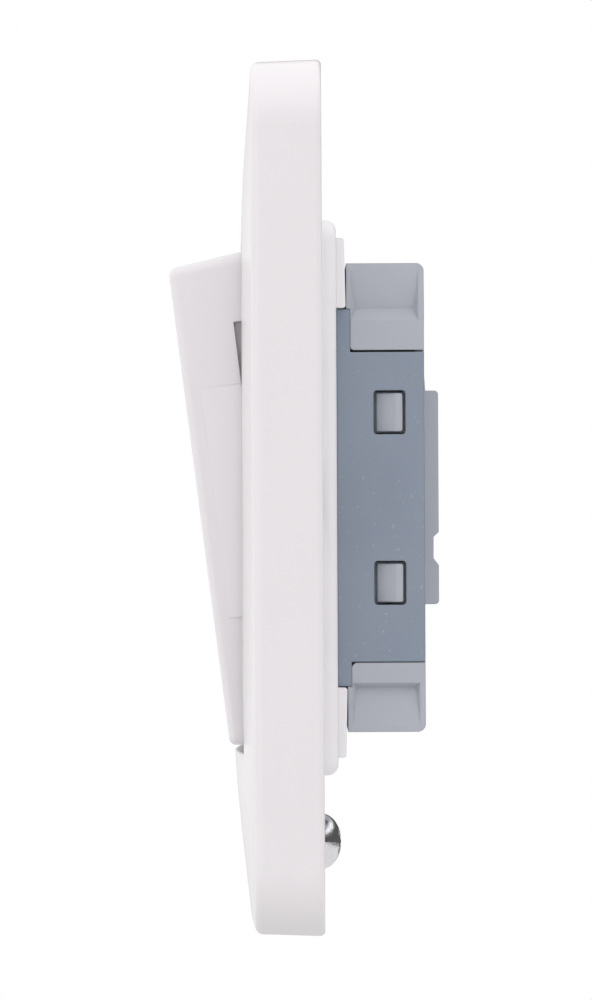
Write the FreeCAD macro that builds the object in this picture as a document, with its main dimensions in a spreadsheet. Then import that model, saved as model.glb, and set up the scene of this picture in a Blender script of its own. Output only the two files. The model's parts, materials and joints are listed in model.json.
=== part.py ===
"""Rocker wall switch, one gang, 86 mm plate. Millimetres.

Frame: the origin is the centre of the cover's back rim, on the wall plane. -Y is the front, +Y goes into
the wall, +X is to the right seen from the front, +Z is up.
"""

import FreeCAD, Part
import math
import os
import re

V = FreeCAD.Vector
doc = FreeCAD.newDocument("rocker_wall_switch")

# Driving dimensions. "front" and "rear" are distances in front of and behind the wall plane.
DIMENSIONS = {
    "cut_margin": 1.0,
    "fit_gap": 0.05,
    "weld_overlap": 0.1,
    "root_depth": 0.2,
    "plate_half": 43.3,
    "plate_corner": 6.4,
    "plate_corner_taper": 0.2,
    "plate_edge_front": 6.9,
    "plate_draft": 2.0,
    "plate_wall": 2.0,
    "plate_ceiling_front": 5.0,
    "plate_hollow_flare": 0.1,
    "plate_hollow_taper": 0.2,
    "back_edge_round": 0.5,
    "front_edge_round": 0.85,
    "lip_half_x": 23.5,
    "lip_half_z": 25.5,
    "lip_corner": 1.4,
    "lip_round": 0.15,
    "collar_wall": 1.4,
    "collar_front": 3.2,
    "collar_overlap": 0.5,
    "pivot_front": 6.6,
    "rest_tilt": 7.1,
    "face_front": 12.45,
    "face_half_x": 22.6,
    "face_half_z": 24.05,
    "rocker_shift_z": -0.15,
    "rocker_corner_front": 0.9,
    "rocker_corner_rear": 1.1,
    "rocker_inner_corner": 0.4,
    "face_wall": 1.8,
    "skirt_wall": 1.5,
    "skirt_depth": 9.0,
    "skirt_overcut": 0.5,
    "skirt_notch_depth": 5.82,
    "skirt_notch_half_z": 17.8,
    "end_draft": 6.3,
    "side_draft": 3.0,
    "rocker_edge_round": 0.7,
    "side_pad_half_z": 11.6,
    "side_pad_depth": 1.6,
    "side_pad_raise": 0.2,
    "side_pad_proud": 0.03,
    "side_pad_root": 0.4,
    "side_rib_inner_x": 20.5,
    "side_rib_wall": 1.45,
    "side_rib_half_z": 21.0,
    "cross_rib_z": 14.0,
    "cross_rib_depth": 1.8,
    "cross_rib_wall": 1.0,
    "clip_leg_wall": 1.4,
    "clip_leg_length": 2.3,
    "clip_leg_half_z": 4.0,
    "clip_barb_reach": 0.5,
    "clip_barb_height": 0.7,
    "clip_play": 0.1,
    "grid_half": 40.2,
    "grid_front": 2.6,
    "grid_back_front": 0.6,
    "grid_corner": 4.0,
    "step_one_half_x": 25.3,
    "step_one_half_z": 27.8,
    "step_one_rear": 1.45,
    "step_edge_round": 1.1,
    "step_corner": 2.0,
    "pocket_half_x": 23.8,
    "pocket_half_z": 26.1,
    "pocket_floor_rear": 0.05,
    "bar_half_x": 24.0,
    "bar_inner_z": 19.0,
    "bar_outer_z": 26.0,
    "bar_rear": 2.4,
    "bar_outer_rear": 2.25,
    "bar_root": 0.4,
    "bar_round": 0.3,
    "finger_inner_x": 9.0,
    "finger_outer_x": 17.0,
    "finger_front": 4.7,
    "finger_wall": 1.2,
    "window_half_x": 20.1,
    "window_half_z": 14.1,
    "fixing_spacing": 60.3,
    "fixing_hole_radius": 2.05,
    "fixing_pad_radius": 4.6,
    "module_half_x": 22.5,
    "housing_half_z": 14.6,
    "shoulder_half_z": 18.9,
    "module_half_z": 23.5,
    "flange_front_rear": 2.45,
    "flange_rear": 2.84,
    "flange_half_x": 22.0,
    "module_rear": 10.24,
    "housing_wall": 1.5,
    "housing_end_wall": 1.3,
    "seat_gap": 0.03,
    "lug_inner_x": 21.2,
    "lug_low_z": 16.45,
    "neck_half_x": 20.0,
    "neck_half_z": 14.0,
    "neck_front": 0.9,
    "hook_inner_x": 8.0,
    "hook_outer_x": 14.0,
    "hook_reach": 0.7,
    "hook_root": 1.0,
    "hook_back_front": 0.05,
    "cavity_front_rear": 2.2,
    "catch_window_front_rear": 5.15,
    "catch_window_back_rear": 8.35,
    "catch_window_low_z": 6.35,
    "catch_window_high_z": 10.75,
    "catch_window_corner": 0.36,
    "stem_opening_half_x": 11.6,
    "stem_opening_half_z": 6.5,
    "stem_opening_rear": 4.0,
    "ear_inner_x": 13.9,
    "ear_outer_x": 17.6,
    "ear_radius": 3.0,
    "trunnion_radius": 1.6,
    "trunnion_play": 0.05,
    "trunnion_inset": 0.2,
    "carrier_half_x": 11.0,
    "carrier_half_z": 5.2,
    "carrier_rear_reach": 2.4,
    "stem_radius": 3.0,
    "stem_rear": 0.2,
    "plunger_radius": 1.8,
    "plunger_play": 0.05,
    "plunger_chamfer": 0.3,
    "plunger_front": 3.2,
    "nose_radius": 1.5,
    "nose_shoulder": 0.6,
    "stem_bore_front": 8.0,
    "spring_wire": 0.4,
    "spring_radius": 1.4,
    "spring_turns": 6.0,
    "blade_pivot_rear": 5.0,
    "blade_thickness": 0.8,
    "blade_half_x": 2.5,
    "blade_half_z": 10.8,
    "blade_waist_inset": 0.7,
    "blade_end_length": 4.0,
    "blade_hub_half": 2.0,
    "blade_neck_length": 1.0,
    "blade_tilt": 8.0,
    "blade_pin_radius": 0.5,
    "blade_pin_overhang": 0.6,
    "tip_z": 9.0,
    "tip_radius": 1.6,
    "tip_height": 0.9,
    "tip_crown_height": 0.3,
    "tip_crown_radius": 0.9,
    "strap_front_rear": 8.1,
    "strap_thickness": 0.8,
    "strap_half_width": 2.5,
    "strap_slot_gap": 0.1,
    "strap_slot_depth": 2.0,
    "contact_radius": 1.75,
    "contact_height": 0.4,
    "contact_chamfer": 0.3,
    "contact_chamfer_height": 0.25,
    "common_lug_half_z": 1.6,
    "common_lug_front_reach": 1.5,
    "common_lug_gap": 0.35,
    "sheet_thickness": 0.4,
    "sheet_gap": 0.2,
    "base_plate_front_rear": 9.3,
    "base_gap": 0.1,
    "tab_half_gap_x": 19.4,
    "tab_outer_x": 20.8,
    "tongue_gap": 0.1,
    "tooth_foot_x": 21.5,
    "tooth_ridge_x": 22.35,
    "tooth_front_rear": 5.45,
    "tooth_ridge_rear": 7.35,
    "tooth_back_rear": 8.05,
    "tooth_gap": 0.28,
    "tooth_round": 0.25,
    "block_inner_z": 14.8,
    "low_wing_z": 16.55,
    "low_wing_chamfer": 0.35,
    "block_front_rear": 2.86,
    "block_corner": 0.8,
    "block_front_round": 0.35,
    "block_lip_gap": 0.04,
    "scoop_depth": 0.9,
    "scoop_outer_z": 22.9,
    "scoop_deepest_z": 19.0,
    "scoop_return_z": 17.75,
    "low_scoop_return_z": 18.6,
    "scoop_front_rear": 2.95,
    "scoop_end_rear": 9.65,
    "scoop_run_out": 0.45,
    "scoop_bulge": 0.15,
    "boss_half_x": 14.0,
    "boss_half_z": 10.8,
    "boss_rear": 11.75,
    "boss_root": 0.3,
    "boss_round": 0.4,
    "boss_ramp_rear": 10.45,
    "boss_ramp_z": 14.0,
    "groove_top_z": -3.5,
    "groove_floor_top_z": -4.0,
    "groove_floor_low_z": -6.15,
    "groove_low_z": -6.85,
    "groove_depth": 0.53,
    "top_terminal_x": 9.0,
    "pillar_half_x": 3.2,
    "pillar_inner_z": 16.3,
    "pillar_outer_z": 22.1,
    "pillar_front_rear": 2.95,
    "pillar_round": 0.4,
    "wire_bore_radius": 1.75,
    "wire_bore_rear": 5.4,
    "wire_entry_radius": 2.1,
    "wire_entry_overrun": 0.5,
    "clamp_screw_radius": 1.5,
    "clamp_screw_play": 0.05,
    "clamp_screw_front_rear": 7.25,
    "clamp_screw_back_rear": 10.05,
    "clamp_screw_end_round": 0.2,
    "clamp_bore_length": 6.0,
    "driver_slot_depth": 0.7,
    "driver_slot_width": 0.6,
    "driver_hole_gap": 0.45,
    "driver_hole_length": 3.0,
    "earth_z": -35.2,
    "earth_boss_radius": 4.4,
    "earth_boss_front": 4.8,
    "earth_insert_radius": 3.0,
    "earth_insert_inset": 0.4,
    "earth_washer_half": 4.0,
    "earth_washer_front": 1.75,
    "earth_washer_corner": 0.8,
    "earth_washer_gap": 0.1,
    "earth_head_front": 0.95,
    "earth_head_rear": 1.8,
    "earth_head_radius": 2.85,
    "earth_head_band": 0.7,
    "earth_cross_half_length": 1.5,
    "earth_cross_half_width": 0.3,
    "earth_cross_depth": 1.2,
    "earth_shank_radius": 1.7,
    "earth_shank_gap": 0.2,
    "earth_shank_chamfer": 0.3,
}

sheet = doc.addObject("Spreadsheet::Sheet", "Dims")
for row, (alias, value) in enumerate(DIMENSIONS.items(), start=1):
    sheet.set(f"A{row}", alias)
    sheet.set(f"B{row}", str(value))
    sheet.setAlias(f"B{row}", alias)
doc.recompute()

WORD = re.compile(r"[a-z]+(?:_[a-z]+)+")
SIDES = (-1, 1)
TINY = 1e-6
CLOSE = 1e-3
EDGE_SEARCH = 0.3
NODES = []


# ---- helpers -------------------------------------------------------------------------------------------


def size(alias):
    """A driving dimension as a plain number."""
    return float(sheet.get(alias))


def linked(text):
    """The text of an expression with each driving dimension turned into its cell."""
    return WORD.sub(lambda word: "Dims." + word.group(0), text)


def bind(item, prop, text):
    item.setExpression(prop, linked(str(text)))


def place(item, x, y, z):
    for axis, text in zip("xyz", (x, y, z)):
        bind(item, f"Placement.Base.{axis}", text)
    return item


def box(name, x, y, z):
    """A box between pairs of expressions."""
    item = doc.addObject("Part::Box", name)
    for prop, (low, high) in zip(("Length", "Width", "Height"), (x, y, z)):
        bind(item, prop, f"({high}) - ({low})")
    return place(item, x[0], y[0], z[0])


TURNS = {
    "x": FreeCAD.Rotation(V(0, 1, 0), 90),
    "y": FreeCAD.Rotation(V(1, 0, 0), -90),
    "z": FreeCAD.Rotation(),
}


def cylinder(name, axis, radius, length, x, y, z):
    """A cylinder that starts at x, y, z and runs along +axis."""
    item = doc.addObject("Part::Cylinder", name)
    item.Placement = FreeCAD.Placement(V(), TURNS[axis])
    bind(item, "Radius", radius)
    bind(item, "Height", length)
    return place(item, x, y, z)


def span(side, inner, outer):
    """A pair of expressions on the positive (1) or negative (-1) side of zero, lower one first."""
    return (inner, outer) if side > 0 else (f"-({outer})", f"-({inner})")


def fuse(name, pieces):
    item = doc.addObject("Part::MultiFuse", name)
    item.Shapes = pieces
    item.Refine = True
    return item


def cut(name, base, tools):
    item = doc.addObject("Part::Cut", name)
    item.Base = base
    item.Tool = tools[0] if len(tools) == 1 else fuse(name + "_tools", tools)
    item.Refine = True
    return item


def rounded(name, base, radius, choose):
    """A Part::Fillet on the edges that choose() accepts."""
    doc.recompute()
    item = doc.addObject("Part::Fillet", name)
    item.Base = base
    picked = [n for n, edge in enumerate(base.Shape.Edges, start=1) if choose(edge)]
    if not picked:
        raise RuntimeError(f"{name}: no edge to round")
    item.Edges = [(n, radius, radius) for n in picked]
    return item


def feature(name, shape):
    item = doc.addObject("Part::Feature", name)
    item.Shape = shape
    return item


def node(item, label, placement=None):
    """Names a finished sub-part, and gives it its placement."""
    item.Label = label
    if placement is not None:
        item.Placement = placement
    NODES.append(item)
    return item


def is_along(edge, axis):
    """Whether an edge is straight and runs along an axis."""
    if edge.Curve.TypeId != "Part::GeomLine":
        return False
    return abs(abs(edge.Curve.Direction.dot(axis)) - 1) < TINY


def is_circle(edge):
    return edge.Curve.TypeId == "Part::GeomCircle"


def outline(half_x, half_z, corner, y):
    """A rounded rectangle in a plane of constant y."""
    edges = []
    ends = []
    for sx, sz, start in ((1, 1, 0), (-1, 1, 90), (-1, -1, 180), (1, -1, 270)):
        centre = V(sx * (half_x - corner), y, sz * (half_z - corner))
        points = []
        for step in (0, 45, 90):
            angle = math.radians(start + step)
            points.append(centre + V(corner * math.cos(angle), 0, corner * math.sin(angle)))
        ends.append(points)
    for index, points in enumerate(ends):
        edges.append(Part.Arc(*points).toShape())
        following = ends[(index + 1) % 4]
        edges.append(Part.LineSegment(points[2], following[0]).toShape())
    return Part.Wire(edges)


def tapered(first, second):
    """A solid between two (half_x, half_z, corner, y) outlines."""
    return Part.makeLoft([outline(*first), outline(*second)], True, True)


def spread(distance, angle):
    """How far a drafted wall moves sideways over a distance."""
    return distance * math.tan(math.radians(angle))


def sketch_on(body, role, points, name, offset=None):
    """A closed polygon sketch on one of the body's own origin planes."""
    plane = [o for o in body.Origin.OriginFeatures if o.Role == role][0]
    sketch = body.newObject("Sketcher::SketchObject", name)
    sketch.AttachmentSupport = (plane, [""])
    sketch.MapMode = "FlatFace"
    if offset is not None:
        bind(sketch, "AttachmentOffset.Base.z", offset)
    count = len(points)
    for index in range(count):
        start = V(*points[index], 0)
        end = V(*points[(index + 1) % count], 0)
        sketch.addGeometry(Part.LineSegment(start, end), False)
    return sketch


def pad_on(body, label, role, points, offset, length):
    """A pad on a body, from a polygon on an origin plane moved by an offset."""
    pad = body.newObject("PartDesign::Pad", label)
    pad.Profile = sketch_on(body, role, points, label + "_outline", offset)
    bind(pad, "Length", length)
    body.Tip = pad
    return pad


# ---- placements of what tilts --------------------------------------------------------------------------

PIVOT = V(0, -size("pivot_front"), 0)
BLADE_PIVOT = V(0, size("blade_pivot_rear"), 0)
ROCKER_REST = FreeCAD.Placement(V(), FreeCAD.Rotation(V(1, 0, 0), size("rest_tilt")), PIVOT)
BLADE_REST = FreeCAD.Placement(V(), FreeCAD.Rotation(V(1, 0, 0), -size("blade_tilt")), BLADE_PIVOT)


# ---- front cover ---------------------------------------------------------------------------------------

# The crown's height in front of the wall plane, down the plate's middle and beside the rocker.
CROWN = (
    (-47.0, 6.85, 6.85),
    (-38.4, 7.88, 7.35),
    (-32.0, 8.57, 7.7),
    (-25.5, 9.04, 8.0),
    (-8.0, 8.8, 8.05),
    (8.0, 8.5, 8.05),
    (25.5, 8.2, 7.96),
    (32.0, 7.96, 7.75),
    (39.0, 7.42, 7.32),
    (47.0, 6.72, 6.8),
)
CROWN_STATIONS_X = (-1.09, -0.8, -0.55, -0.28, 0.0, 0.28, 0.55, 0.8, 1.09)


def crown_height(across, middle, beside):
    """The crown's height at a fraction of the plate's half width."""
    edge = size("plate_edge_front")
    lip = size("lip_half_x") / size("plate_half")
    rise = middle - edge
    quartic = ((beside - edge) - rise * (1 - lip**2)) / (lip**2 - lip**4)
    return edge + (rise - quartic) * (1 - across**2) + quartic * (1 - across**4)


def flat_face(corners):
    """A flat face with straight edges between its corners."""
    return Part.Face(Part.makePolygon(corners + corners[:1]))


def make_front_cover():
    half = size("plate_half")
    corner = size("plate_corner")
    margin = size("cut_margin")
    tall = 2 * size("plate_edge_front")
    narrow = half - spread(tall, size("plate_draft"))
    front_corner = corner - size("plate_corner_taper")
    block = tapered((half, half, corner, 0), (narrow, narrow, front_corner, -tall))
    rows = []
    for z, middle, beside in CROWN:
        rows.append([V(u * half, -crown_height(u, middle, beside), z) for u in CROWN_STATIONS_X])
    surface = Part.BSplineSurface()
    surface.interpolate(rows)
    block = block.cut(surface.toShape().extrude(V(0, -2 * tall, 0)))
    rim = [e for e in block.Edges if e.BoundBox.YMin > -TINY]
    block = block.makeFillet(size("back_edge_round"), rim)
    behind_crown = -size("plate_edge_front") * 2 / 3
    front = [e for e in block.Edges if e.BoundBox.YMax < behind_crown]
    block = block.makeFillet(size("front_edge_round"), front)
    ceiling = -size("plate_ceiling_front")
    inner = half - size("plate_wall")
    inner_corner = corner - size("plate_wall")
    wide = inner + size("plate_hollow_flare")
    tight = inner - size("plate_hollow_taper")
    hollow = tapered((wide, wide, inner_corner, margin), (tight, tight, inner_corner, ceiling))
    lip_x = size("lip_half_x")
    lip_z = size("lip_half_z")
    wall = size("collar_wall")
    lip = size("lip_corner")
    shift = V(0, 0, size("rocker_shift_z"))
    opening = tapered((lip_x, lip_z, lip, margin), (lip_x, lip_z, lip, -2 * tall))
    opening.translate(shift)
    block = block.cut(opening)
    edges = []
    for edge in block.Edges:
        bounds = edge.BoundBox
        within_x = max(-bounds.XMin, bounds.XMax) < lip_x + EDGE_SEARCH
        within_z = max(-bounds.ZMin, bounds.ZMax) < lip_z + EDGE_SEARCH
        if within_x and within_z and bounds.YMax < -size("plate_edge_front"):
            edges.append(edge)
    block = block.makeFillet(size("lip_round"), edges)
    collar = tapered(
        (lip_x + wall, lip_z + wall, lip + wall, -size("collar_front")),
        (lip_x + wall, lip_z + wall, lip + wall, ceiling - size("collar_overlap")),
    )
    collar.translate(shift)
    shell = block.cut(hollow).fuse(collar.cut(opening)).removeSplitter()
    return node(feature("front_cover", shell), "front_cover")


# ---- rocker --------------------------------------------------------------------------------------------


def make_rocker():
    face = -size("face_front")
    half_x = size("face_half_x")
    half_z = size("face_half_z")
    shift = V(0, 0, size("rocker_shift_z"))
    depth = size("skirt_depth")
    rear_x = half_x + spread(depth, size("side_draft"))
    rear_z = half_z + spread(depth, size("end_draft"))
    wall = size("skirt_wall")
    margin = size("cut_margin")
    overlap = size("weld_overlap")
    root = size("root_depth")
    front_corner = size("rocker_corner_front")
    rear_corner = size("rocker_corner_rear")
    outer = tapered((half_x, half_z, front_corner, face), (rear_x, rear_z, rear_corner, face + depth))
    front_edges = [e for e in outer.Edges if e.BoundBox.YMax < face + TINY]
    outer = outer.makeFillet(size("rocker_edge_round"), front_edges)
    ceiling = face + size("face_wall")
    corner = size("rocker_inner_corner")
    inner = tapered(
        (half_x - wall, half_z - wall, corner, ceiling),
        (rear_x - wall, rear_z - wall, corner, face + depth + size("skirt_overcut")),
    )
    outer.translate(shift)
    inner.translate(shift)
    notch_z = size("skirt_notch_half_z")
    notch_y = face + size("skirt_notch_depth")
    notch_x = rear_x + margin
    notch = Part.makeBox(2 * notch_x, depth, 2 * notch_z, V(-notch_x, notch_y, -notch_z))
    shell = outer.cut(inner).cut(notch)
    pad_z = size("side_pad_half_z")
    pad_y = face + size("side_pad_depth")
    reach = half_x + spread(size("skirt_notch_depth"), size("side_draft")) + size("side_pad_raise")
    pad_inner = half_x - size("side_pad_root")
    pad_front = half_x + spread(size("side_pad_depth"), size("side_draft")) + size("side_pad_proud")
    rib_x = size("side_rib_inner_x")
    rib_z = size("side_rib_half_z")
    rib_length = depth - size("face_wall") + root
    leg_x = size("carrier_half_x") + size("clip_play")
    leg_wall = size("clip_leg_wall")
    leg_z = size("clip_leg_half_z")
    leg_length = size("clip_leg_length")
    barb_height = size("clip_barb_height")
    barb_reach = size("clip_barb_reach")
    for side in SIDES:
        corners = [(pad_inner, pad_y), (pad_front, pad_y), (reach, notch_y), (pad_inner, notch_y)]
        pad = flat_face([V(x, y, -pad_z) for x, y in corners]).extrude(V(0, 0, 2 * pad_z))
        rib = Part.makeBox(size("side_rib_wall"), rib_length, 2 * rib_z, V(rib_x, ceiling - root, -rib_z))
        leg = Part.makeBox(leg_wall, leg_length, 2 * leg_z, V(leg_x, ceiling, -leg_z))
        barb_at = V(leg_x - barb_reach, ceiling + leg_length - barb_height, -leg_z)
        barb = Part.makeBox(barb_reach + overlap, barb_height, 2 * leg_z, barb_at)
        added = pad.fuse(rib).fuse(leg).fuse(barb)
        if side < 0:
            added = added.mirror(V(), V(1, 0, 0))
        cross_x = rib_x + overlap
        cross_wall = size("cross_rib_wall")
        cross_at = V(-cross_x, ceiling - root, side * size("cross_rib_z") - cross_wall / 2)
        cross = Part.makeBox(2 * cross_x, size("cross_rib_depth") + root, cross_wall, cross_at)
        shell = shell.fuse(added).fuse(cross)
    return node(feature("rocker", shell.removeSplitter()), "rocker", ROCKER_REST)


# ---- rocker carrier: pivots in the housing's ears, holds the plunger -------------------------------------


def make_rocker_carrier():
    front = "-face_front + face_wall"
    block = box(
        "carrier_block",
        ("-carrier_half_x", "carrier_half_x"),
        (front, "carrier_rear_reach - pivot_front"),
        ("-carrier_half_z", "carrier_half_z"),
    )
    trunnion = cylinder(
        "carrier_trunnion", "x", "trunnion_radius", "2 * (ear_outer_x - trunnion_inset)",
        "trunnion_inset - ear_outer_x", "-pivot_front", 0,
    )
    stem = cylinder(
        "carrier_stem", "y", "stem_radius", "pivot_front + stem_rear", 0, "-pivot_front", 0,
    )
    bore = cylinder(
        "carrier_bore", "y", "plunger_radius + plunger_play", "stem_bore_front + stem_rear + cut_margin",
        0, "-stem_bore_front", 0,
    )
    recesses = []
    catch = f"{front} + clip_leg_length - clip_barb_height"
    catch_y = (f"{catch} - clip_play / 2", f"{catch} + clip_barb_height + clip_play / 2")
    catch_z = ("-clip_leg_half_z - clip_play", "clip_leg_half_z + clip_play")
    for side in SIDES:
        catch_x = ("carrier_half_x - clip_barb_reach", "carrier_half_x + cut_margin")
        if side < 0:
            catch_x = ("-carrier_half_x - cut_margin", "clip_barb_reach - carrier_half_x")
        recesses.append(box(f"carrier_recess_{side + 1}", catch_x, catch_y, catch_z))
    solid = fuse("carrier_solid", [block, trunnion, stem])
    return node(cut("rocker_carrier", solid, [bore] + recesses), "rocker_carrier", ROCKER_REST)


def revolved(label, profile, placement):
    """A body turned about its own Y axis from (radius, y) points."""
    body = doc.addObject("PartDesign::Body", label)
    sketch = sketch_on(body, "XY_Plane", profile, label + "_profile")
    turn = body.newObject("PartDesign::Revolution", label + "_turn")
    turn.Profile = sketch
    turn.ReferenceAxis = (sketch, ["V_Axis"])
    turn.Angle = 360
    body.Tip = turn
    return node(body, label, placement)


def make_plunger():
    radius = size("plunger_radius")
    nose = size("nose_radius")
    front = -size("plunger_front")
    chamfer = size("plunger_chamfer")
    tip = size("blade_pivot_rear") - size("blade_thickness") / 2 - size("fit_gap")
    shoulder = tip - nose
    profile = [(0, front), (radius - chamfer, front), (radius, front + chamfer)]
    profile.append((radius, shoulder - size("nose_shoulder")))
    for degrees in range(0, 91, 15):
        angle = math.radians(degrees)
        profile.append((nose * math.cos(angle), shoulder + nose * math.sin(angle)))
    return revolved("plunger", profile, ROCKER_REST)


def make_plunger_spring():
    wire = size("spring_wire") / 2
    start = wire + size("fit_gap") - size("stem_bore_front")
    end = -wire - size("fit_gap") - size("plunger_front")
    pitch = (end - start) / size("spring_turns")
    helix = Part.makeLongHelix(pitch, end - start, size("spring_radius"))
    circle = Part.makeCircle(wire, V(size("spring_radius"), 0, 0), V(0, 1, 0))
    coil = Part.Wire(helix).makePipeShell([Part.Wire(circle)], True, True)
    in_bore = FreeCAD.Placement(V(0, start, 0), TURNS["y"])
    return node(feature("plunger_spring", coil), "plunger_spring", ROCKER_REST.multiply(in_bore))


# ---- mounting grid -------------------------------------------------------------------------------------


def make_bar(side):
    """One of the two raised bars behind the module's flange, thinner towards its outer edge."""
    name = "grid_bar_top" if side > 0 else "grid_bar_bottom"
    inner = side * size("bar_inner_z")
    outer = side * size("bar_outer_z")
    root = size("step_one_rear") - size("bar_root")
    points = [(root, inner), (size("bar_rear"), inner), (size("bar_outer_rear"), outer), (root, outer)]
    body = doc.addObject("PartDesign::Body", name)
    pad = pad_on(body, name + "_pad", "YZ_Plane", points, None, "2 * bar_half_x")
    pad.Midplane = True
    back = size("bar_outer_rear") - CLOSE
    return rounded(name + "_round", body, size("bar_round"), lambda e: e.BoundBox.YMin > back)


def make_mounting_grid():
    plate = box(
        "grid_plate",
        ("-grid_half", "grid_half"),
        ("-grid_front", "-grid_back_front"),
        ("-grid_half", "grid_half"),
    )
    plate = rounded("grid_plate_round", plate, size("grid_corner"), lambda e: is_along(e, V(0, 1, 0)))
    step = box(
        "grid_step_one",
        ("-step_one_half_x", "step_one_half_x"),
        ("-grid_front", "step_one_rear"),
        ("-step_one_half_z", "step_one_half_z"),
    )
    step = rounded("grid_step_sides", step, size("step_corner"), lambda e: is_along(e, V(0, 1, 0)))
    back = size("step_one_rear") - TINY
    step = rounded("grid_step_edge", step, size("step_edge_round"), lambda e: e.BoundBox.YMin > back)
    added = [plate, step]
    removed = []
    for side in SIDES:
        added.append(make_bar(side))
        finger_z = span(side, "grid_half - finger_wall", "grid_half")
        for other in SIDES:
            finger_x = span(other, "finger_inner_x", "finger_outer_x")
            name = f"grid_finger_{side + 1}_{other + 1}"
            added.append(box(name, finger_x, ("-finger_front", "-grid_back_front"), finger_z))
        x = f"{side} * fixing_spacing / 2"
        added.append(
            cylinder(f"grid_pad_{side + 1}", "y", "fixing_pad_radius", "grid_front", x, "-grid_front", 0)
        )
        removed.append(
            cylinder(
                f"grid_fixing_{side + 1}", "y", "fixing_hole_radius", "grid_front + 2 * cut_margin",
                x, "-grid_front - cut_margin", 0,
            )
        )
    added.append(
        cylinder(
            "grid_earth_boss", "y", "earth_boss_radius", "earth_boss_front - grid_back_front",
            0, "-earth_boss_front", "earth_z",
        )
    )
    removed.append(
        box(
            "grid_pocket",
            ("-pocket_half_x", "pocket_half_x"),
            ("-grid_front - cut_margin", "pocket_floor_rear"),
            ("-pocket_half_z", "pocket_half_z"),
        )
    )
    removed.append(
        box(
            "grid_window",
            ("-window_half_x", "window_half_x"),
            ("-grid_front - cut_margin", "bar_rear + cut_margin"),
            ("-window_half_z", "window_half_z"),
        )
    )
    removed.append(
        box(
            "grid_washer_seat",
            ("-earth_washer_half - earth_washer_gap", "earth_washer_half + earth_washer_gap"),
            ("-earth_washer_front", "0"),
            (
                "earth_z - earth_washer_half - earth_washer_gap",
                "earth_z + earth_washer_half + earth_washer_gap",
            ),
        )
    )
    removed.append(
        cylinder(
            "grid_insert_seat", "y", "earth_insert_radius", "earth_boss_front - earth_insert_inset",
            0, "earth_insert_inset - earth_boss_front", "earth_z",
        )
    )
    return node(cut("mounting_grid", fuse("grid_solid", added), removed), "mounting_grid")


# ---- module housing ------------------------------------------------------------------------------------


def make_module_housing():
    full_x = ("-module_half_x", "module_half_x")
    seat = "step_one_rear + seat_gap"
    main = box("housing_main", full_x, (seat, "module_rear"), ("-housing_half_z", "housing_half_z"))
    shoulder = box("housing_shoulder", full_x, (seat, "flange_rear"), ("-shoulder_half_z", "shoulder_half_z"))
    flange = box(
        "housing_flange",
        ("-flange_half_x", "flange_half_x"),
        ("flange_front_rear", "flange_rear"),
        ("-module_half_z", "module_half_z"),
    )
    neck = box(
        "housing_neck",
        ("-neck_half_x", "neck_half_x"),
        ("-neck_front", "flange_rear"),
        ("-neck_half_z", "neck_half_z"),
    )
    inside_x = ("housing_wall - module_half_x", "module_half_x - housing_wall")
    added = [main, shoulder, flange, neck]
    holes = []
    for side in SIDES:
        ear_x = span(side, "ear_inner_x", "ear_outer_x")
        width = "ear_outer_x - ear_inner_x"
        added.append(
            box(f"housing_ear_{side + 1}", ear_x, ("-pivot_front", "0"), ("-ear_radius", "ear_radius"))
        )
        added.append(
            cylinder(f"housing_ear_top_{side + 1}", "x", "ear_radius", width, ear_x[0], "-pivot_front", 0)
        )
        holes.append(
            cylinder(
                f"housing_bearing_{side + 1}", "x", "trunnion_radius + trunnion_play",
                f"{width} + 2 * cut_margin", f"{ear_x[0]} - cut_margin", "-pivot_front", 0,
            )
        )
        added.append(
            box(
                f"housing_lug_{side + 1}",
                span(side, "lug_inner_x", "module_half_x"),
                ("flange_rear - weld_overlap", "module_rear"),
                ("-lug_low_z", "weld_overlap - housing_half_z"),
            )
        )
        hook_z = span(side, "neck_half_z - hook_root", "neck_half_z + hook_reach")
        window_z = span(side, "catch_window_low_z", "catch_window_high_z")
        for other in SIDES:
            corner = f"{side + 1}_{other + 1}"
            hook_x = span(other, "hook_inner_x", "hook_outer_x")
            added.append(box(f"housing_hook_{corner}", hook_x, ("-neck_front", "-hook_back_front"), hook_z))
            window = box(
                f"housing_window_{corner}",
                span(other, "module_half_x - housing_wall - weld_overlap", "module_half_x + cut_margin"),
                ("catch_window_front_rear", "catch_window_back_rear"),
                window_z,
            )
            bend = size("catch_window_corner")
            holes.append(
                rounded(f"housing_window_round_{corner}", window, bend, lambda e: is_along(e, V(1, 0, 0)))
            )
        holes.append(
            box(
                f"housing_strap_slot_{side + 1}",
                inside_x,
                ("strap_front_rear - strap_slot_gap", "module_rear + cut_margin"),
                span(side, "housing_half_z - strap_slot_depth", "housing_half_z + cut_margin"),
            )
        )
    holes.append(
        box(
            "housing_cavity",
            inside_x,
            ("cavity_front_rear", "module_rear + cut_margin"),
            ("housing_end_wall - housing_half_z", "housing_half_z - housing_end_wall"),
        )
    )
    holes.append(
        box(
            "housing_stem_opening",
            ("-stem_opening_half_x", "stem_opening_half_x"),
            ("-neck_front - cut_margin", "stem_opening_rear"),
            ("-stem_opening_half_z", "stem_opening_half_z"),
        )
    )
    return node(cut("module_housing", fuse("housing_solid", added), holes), "module_housing")


# ---- module base ---------------------------------------------------------------------------------------

TERMINALS = {"line_one": (-1, 1), "common": (1, 1), "line_two": (0, -1)}


def terminal_x(name):
    return f"{TERMINALS[name][0]} * top_terminal_x"


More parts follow.
